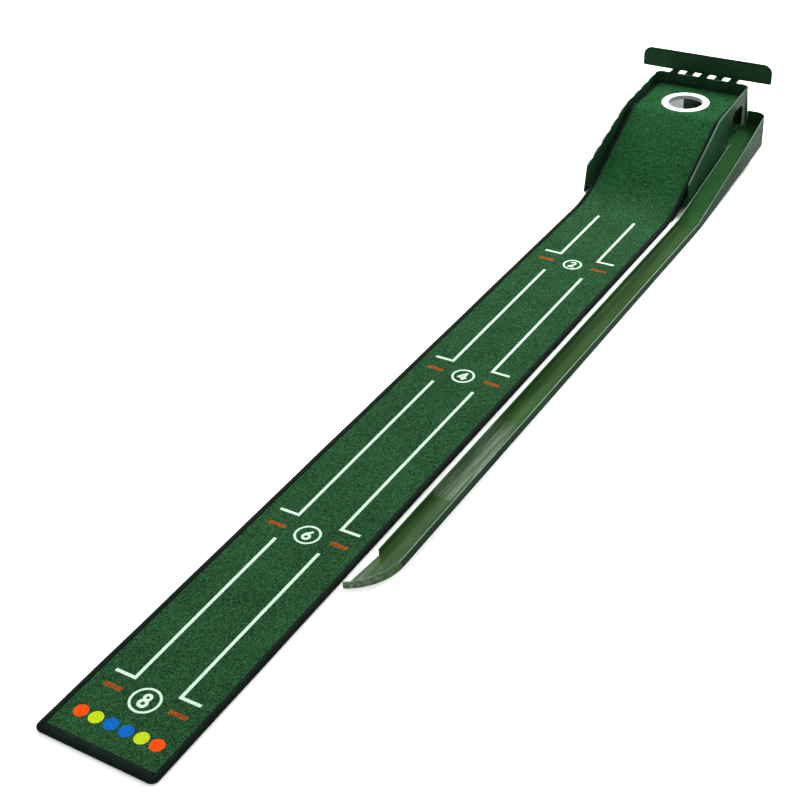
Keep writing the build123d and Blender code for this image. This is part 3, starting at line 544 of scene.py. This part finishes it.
def build_turf():
    """The pile with its printing: one closed layer whose top is cut along every printed edge."""
    shapes = marking_shapes()
    start = PILE_LOW.y - NEAR_Y
    end = course_at(PILE_HIGH.y)
    hole = circle(0, CUP_S, HOLE_RADIUS, 96)
    points, edges = [], []

    def add_loop(loop):
        first = len(points)
        points.extend(Vector(p) for p in loop)
        count = len(loop)
        edges.extend((first + i, first + (i + 1) % count) for i in range(count))

    rows = steps(start, FLOOR_END, 24 * MM)[:-1]
    rows += steps(FLOOR_END, FOOT_END, 5 * MM)[:-1]
    rows += steps(FOOT_END, SLOPE_END, 20 * MM)[:-1]
    rows += steps(SLOPE_END, CREST_END, 1.6 * MM)[:-1]
    rows += steps(CREST_END, end, 14 * MM)
    columns = steps(-PILE_HALF, PILE_HALF, 18 * MM)
    border = [(x, start) for x in columns] + [(PILE_HALF, s) for s in rows[1:]]
    border += [(x, end) for x in columns[-2::-1]] + [(-PILE_HALF, s) for s in rows[-2:0:-1]]
    add_loop(border)
    add_loop(hole)
    for _, filled, holes in shapes:
        for loop in filled + holes:
            add_loop(loop)
    points.extend(Vector((x, s)) for s in rows[1:-1] for x in columns[1:-1])
    verts, _, faces, *_ = delaunay_2d_cdt(points, edges, [], 1, 1e-7)

    boxes = [
        (limits(filled), TURF_MATERIALS.index(material), filled, holes)
        for material, filled, holes in shapes
    ]
    kept, indices = [], []
    for face in faces:
        x = sum(verts[i].x for i in face) / len(face)
        s = sum(verts[i].y for i in face) / len(face)
        if math.hypot(x, s - CUP_S) < HOLE_RADIUS - HOLE_MARGIN:
            continue
        index = 0
        for (x0, x1, s0, s1), printed, filled, holes in boxes:
            if x0 <= x <= x1 and s0 <= s <= s1 and any(inside((x, s), loop) for loop in filled):
                if not any(inside((x, s), loop) for loop in holes):
                    index = printed
        kept.append(tuple(face))
        indices.append(index)
    top = [on_mat(v.x, v.y, PILE_TOP + settle(v.x, v.y)) for v in verts]
    bottom = [on_mat(v.x, v.y, BACKING + PILE_GAP) for v in verts]
    shift = len(verts)
    uses = {}
    for face in kept:
        for a, b in zip(face, face[1:] + face[:1]):
            uses[(a, b)] = True
    walls = [(a, b) for a, b in uses if (b, a) not in uses]
    faces = kept + [tuple(shift + i for i in reversed(face)) for face in kept]
    faces += [(b, a, shift + a, shift + b) for a, b in walls]
    indices += [0] * (len(kept) + len(walls))
    turf = mesh_object("turf", top + bottom, faces, TURF_MATERIALS, indices)
    bm = bmesh.new()
    bm.from_mesh(turf.data)
    loose = [v for v in bm.verts if not v.link_faces]
    bmesh.ops.delete(bm, geom=loose, context="VERTS")
    bmesh.ops.recalc_face_normals(bm, faces=bm.faces)
    for edge in bm.edges:
        if edge.is_manifold and edge.calc_face_angle() > SHARP:
            edge.smooth = False
    bm.to_mesh(turf.data)
    bm.free()
    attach(turf, "ramp")
    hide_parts("turf_pile")


# ---------------------------------------------------------------- edge binding

STITCH = 3.6 * MM
STITCH_RINGS = 4
STITCH_STEP = STITCH / STITCH_RINGS
# The near edge's binding is wider than the others by this factor, and a little thicker.
NEAR_WIDER = 24.7 / 15.7
NEAR_THICKER = 1.12
# The binding's section: (distance in from the mat's edge, height), and whether a stitch swells it.
BINDING_SECTION = (
    (15.7, 6.6, 0.3),
    (14.2, 8.9, 0.8),
    (11.0, 9.9, 1.0),
    (6.6, 10.2, 1.0),
    (2.9, 9.5, 1.0),
    (0.7, 7.1, 1.0),
    (0.25, 4.2, 1.0),
    (1.0, 1.4, 0.8),
    (3.2, 0.3, 0.0),
    (3.4, 3.1, 0.0),
    (15.4, 3.3, 0.0),
)
NEAR_CORNER = 17 * MM
FAR_CORNER = 6 * MM
# How far the binding may reach in over the pile's side, and how far a stitch swells and slants.
TUCK = 0.7 * MM
SWELL = 0.32 * MM
SLANT = 0.16


def rim_path():
    """Stations round the mat's outer edge: (x, s, outward x, outward s) at an even pitch."""
    near, far = NEAR_CORNER, FAR_CORNER
    half, length = MAT_HALF, MAT_LENGTH
    corners = (
        (half - near, near, near, -90),
        (half - far, length - far, far, 0),
        (far - half, length - far, far, 90),
        (near - half, near, near, 180),
    )
    pieces = []
    for i, (x, s, radius, angle) in enumerate(corners):
        pieces.append(("arc", x, s, radius, angle))
        nx, ns, nr, na = corners[(i + 1) % 4]
        a = math.radians(angle + 90)
        begin = (x + radius * math.cos(a), s + radius * math.sin(a))
        b = math.radians(na)
        finish = (nx + nr * math.cos(b), ns + nr * math.sin(b))
        pieces.append(("run", begin, finish))
    stations = []
    for piece in pieces:
        if piece[0] == "arc":
            _, x, s, radius, angle = piece
            count = max(4, round(radius * math.pi / 2 / STITCH_STEP))
            for i in range(count):
                a = math.radians(angle + 90 * i / count)
                out = (math.cos(a), math.sin(a))
                stations.append((x + radius * out[0], s + radius * out[1], *out))
        else:
            _, begin, finish = piece
            span = Vector(finish) - Vector(begin)
            out = Vector((span.y, -span.x)).normalized()
            count = round(span.length / STITCH_STEP)
            for i in range(count):
                p = Vector(begin) + span * i / count
                stations.append((p.x, p.y, out.x, out.y))
    return stations


def build_binding():
    """The overlocked edge: one ring of yarn ridges round the whole mat."""
    random.seed(11)
    stations = rim_path()
    width = len(BINDING_SECTION)
    section = [Vector((d, h)) * MM for d, h, _ in BINDING_SECTION]
    normals = []
    for i in range(width):
        along = section[(i + 1) % width] - section[i - 1]
        normals.append(Vector((-along.y, along.x)).normalized())
    middle = sum(section, Vector((0, 0))) / width
    for i, normal in enumerate(normals):
        if normal.dot(section[i] - middle) < 0:
            normals[i] = -normal
    points, faces = [], []
    thickness = 1.0
    for count, (x, s, out_x, out_s) in enumerate(stations):
        near = max(0.0, -out_s) ** 2
        if count % STITCH_RINGS == 0:
            thickness = 0.8 + 0.4 * random.random()
        for i, (d, h, swell) in enumerate(BINDING_SECTION):
            phase = 2 * math.pi * (count / STITCH_RINGS + SLANT * i)
            grow = swell * SWELL * thickness * math.cos(phase)
            p = section[i] + normals[i] * grow
            reach = p.x * (1 + (NEAR_WIDER - 1) * near)
            height = p.y * (1 + (NEAR_THICKER - 1) * near)
            px, ps = x - out_x * reach, s - out_s * reach
            if out_x:
                px = math.copysign(max(abs(px), PILE_HALF - TUCK), x)
            points.append(on_mat(px, ps, height + settle(px, ps)))
    total = len(stations)
    for count in range(total):
        a, b = count * width, (count + 1) % total * width
        for i in range(width):
            j = (i + 1) % width
            faces.append((a + i, b + i, b + j, a + j))
    binding = mesh_object("overlocked_edge", points, faces, [YARN])
    bm = bmesh.new()
    bm.from_mesh(binding.data)
    bmesh.ops.recalc_face_normals(bm, faces=bm.faces)
    bm.to_mesh(binding.data)
    bm.free()
    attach(binding, "ramp")
    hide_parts("edge_binding")


# ---------------------------------------------------------------- mouldings


# The ramp shell's rim, as (y, height) where it starts and where it kinks, and the y where it ends.
RIM_FRONT = (NEAR_Y + 2.552, 92 * MM)
RIM_KINK = (NEAR_Y + 2.812, 193 * MM)
RIM_REAR = NEAR_Y + 3.075
RIM_BAND = 4 * MM
THROAT_DROP = 2 * MM
TRACK_WIDTH = 65 * MM
TRACK_WALL = 2.45 * MM
OUTER_SKIN = 0.3 * MM


def dress(node, material):
    """Gives a carried-over CAD node its material."""
    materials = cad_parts[node].data.materials
    materials.clear()
    materials.append(material)


def rim_height(y):
    """Height of the ramp shell's rim: it slopes up steeply from the front and then gently to the rear."""
    (front, low), (kink, high) = RIM_FRONT, RIM_KINK
    if y < kink:
        return low + (y - front) / (kink - front) * (high - low)
    return high + (y - kink) / (RIM_REAR - kink) * (SHELL_HIGH.z - high)


def on_rim(centre, normal):
    """True on the top of the ramp shell's rim, which takes a painted highlight."""
    return normal.z > 0.5 and centre.z > rim_height(centre.y) - RIM_BAND


def in_throat(centre, normal):
    """True on the inside of the cup's ring, below its top face, which takes a painted shade."""
    return normal.z < 0.2 and centre.z < RING_HIGH.z - THROAT_DROP


def on_wall_top(centre, normal):
    """True on the narrow tops of the track's walls, which take a painted highlight."""
    half = TRACK_WALL / 2
    on_left = abs(centre.x - (TRACK_RIGHT - TRACK_WIDTH) - half) < half
    return normal.z > 0.3 and (on_left or centre.x > TRACK_RIGHT - TRACK_WALL)


def on_outer_face(centre, normal):
    """True on the outside of the track's right wall, which takes a painted shade."""
    return normal.x > 0.5 and centre.x > TRACK_RIGHT - OUTER_SKIN


def polish(node, material, chosen):
    """Adds a material to a carried-over CAD node, on the faces where chosen(centre, normal) is true."""
    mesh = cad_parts[node].data
    mesh.materials.append(material)
    index = len(mesh.materials) - 1
    for face in mesh.polygons:
        if chosen(face.center, face.normal):
            face.material_index = index


# ---------------------------------------------------------------- build

LOOKS = {
    "hook_tapes": HOOK_TAPE,
    "ramp_feet": FOOT_RUBBER,
    "ramp_deck": SATIN,
    "deck_ribs": SATIN,
    "deck_screws": ZINC,
    "chute_screws": ZINC,
    "cup_ring": RING_WHITE,
    "cup_liner": LINER_GREY,
    "ball_chute": CHUTE_SHADE,
    "ramp_shell": GRAINED,
    "backstop": SATIN,
    "track_entry": TRACK_ENTRY,
    "track_section_1": TRACK,
    "track_section_2": TRACK,
    "track_section_3": TRACK_REFLECTED,
    "track_end": TRACK_TIP,
}

build_turf()
build_binding()
for name in BACKING_NODES:
    dress(name, RUBBER_WEAVE)
for name, look in LOOKS.items():
    dress(name, look)
polish("cup_ring", RING_THROAT_SHADE, in_throat)
polish("ramp_shell", RIM_HIGHLIGHT, on_rim)
for name in TRACK_NODES:
    polish(name, TRACK_OUTER_SHADE, on_outer_face)
    polish(name, TRACK_EDGE_HIGHLIGHT, on_wall_top)

# ---------------------------------------------------------------- floor, light, camera

FLOOR_SIZE = 60.0
FLOOR_DROP = 0.1 * MM
WORLD_STRENGTH = 1.12
# Each light: its name, place, target, size in metres and power in watts.
LIGHTS = (
    ("key", (-4.0, 4.0, 3.2), (0, 0.3, 0), 3.0, 560),
    ("back", (0.8, 2.6, 1.5), (0.05, 1.35, 0.18), 0.6, 60),
    ("fill", (0.5, -5.0, 4.5), (0, 0, 0), 3.5, 60),
)
# The camera's place in metres, its turns in degrees, and its lens and sensor in millimetres.
CAMERA_PLACE = (1.5734, -2.8519, 2.1180)
CAMERA_AZIMUTH = 32.9
CAMERA_DOWN = 34.4
CAMERA_ROLL = -3.4
CAMERA_LENS = 66.74
CAMERA_SENSOR = 36


def make_floor():
    shader = Shader("studio_floor")
    drift = shader.noise(0.6, 2.0, 0.5)
    base = shader.ramp(drift, [(0.3, (0.90, 0.90, 0.895)), (0.7, (0.93, 0.93, 0.925))])
    material = shader.finish(Base_Color=base, Roughness=0.9)
    half, low = FLOOR_SIZE / 2, -FLOOR_DROP
    corners = [(-half, -half, low), (half, -half, low), (half, half, low), (-half, half, low)]
    floor = mesh_object("studio_floor", corners, [(0, 1, 2, 3)], [material], smooth=False)


def make_light(name, place, target, size, power):
    data = bpy.data.lights.new(name, "AREA")
    data.shape = "DISK"
    data.size = size
    data.energy = power
    light = bpy.data.objects.new(name, data)
    bpy.context.scene.collection.objects.link(light)
    light.location = place
    light.rotation_mode = "QUATERNION"
    light.rotation_quaternion = (Vector(target) - Vector(place)).to_track_quat("-Z", "Y")


def make_world():
    world = bpy.data.worlds.new("studio")
    world.use_nodes = True
    background = world.node_tree.nodes["Background"]
    background.inputs["Color"].default_value = (1, 1, 0.995, 1)
    background.inputs["Strength"].default_value = WORLD_STRENGTH
    bpy.context.scene.world = world


def make_camera():
    data = bpy.data.cameras.new("camera")
    data.lens = CAMERA_LENS
    data.sensor_width = CAMERA_SENSOR
    data.clip_end = 100
    camera = bpy.data.objects.new("camera", data)
    bpy.context.scene.collection.objects.link(camera)
    azimuth, down, roll = (math.radians(a) for a in (CAMERA_AZIMUTH, CAMERA_DOWN, CAMERA_ROLL))
    level = Vector((math.cos(azimuth), math.sin(azimuth), 0))
    level_reach = math.cos(down)
    ahead = Vector((-math.sin(azimuth) * level_reach, math.cos(azimuth) * level_reach, -math.sin(down)))
    above = level.cross(ahead)
    right = level * math.cos(roll) + above * math.sin(roll)
    up = above * math.cos(roll) - level * math.sin(roll)
    turn = Matrix((right, up, -ahead)).transposed().to_4x4()
    camera.matrix_world = Matrix.Translation(CAMERA_PLACE) @ turn
    bpy.context.scene.camera = camera


make_floor()
make_world()
for light in LIGHTS:
    make_light(*light)
make_camera()
bpy.context.scene.view_settings.view_transform = "Standard"
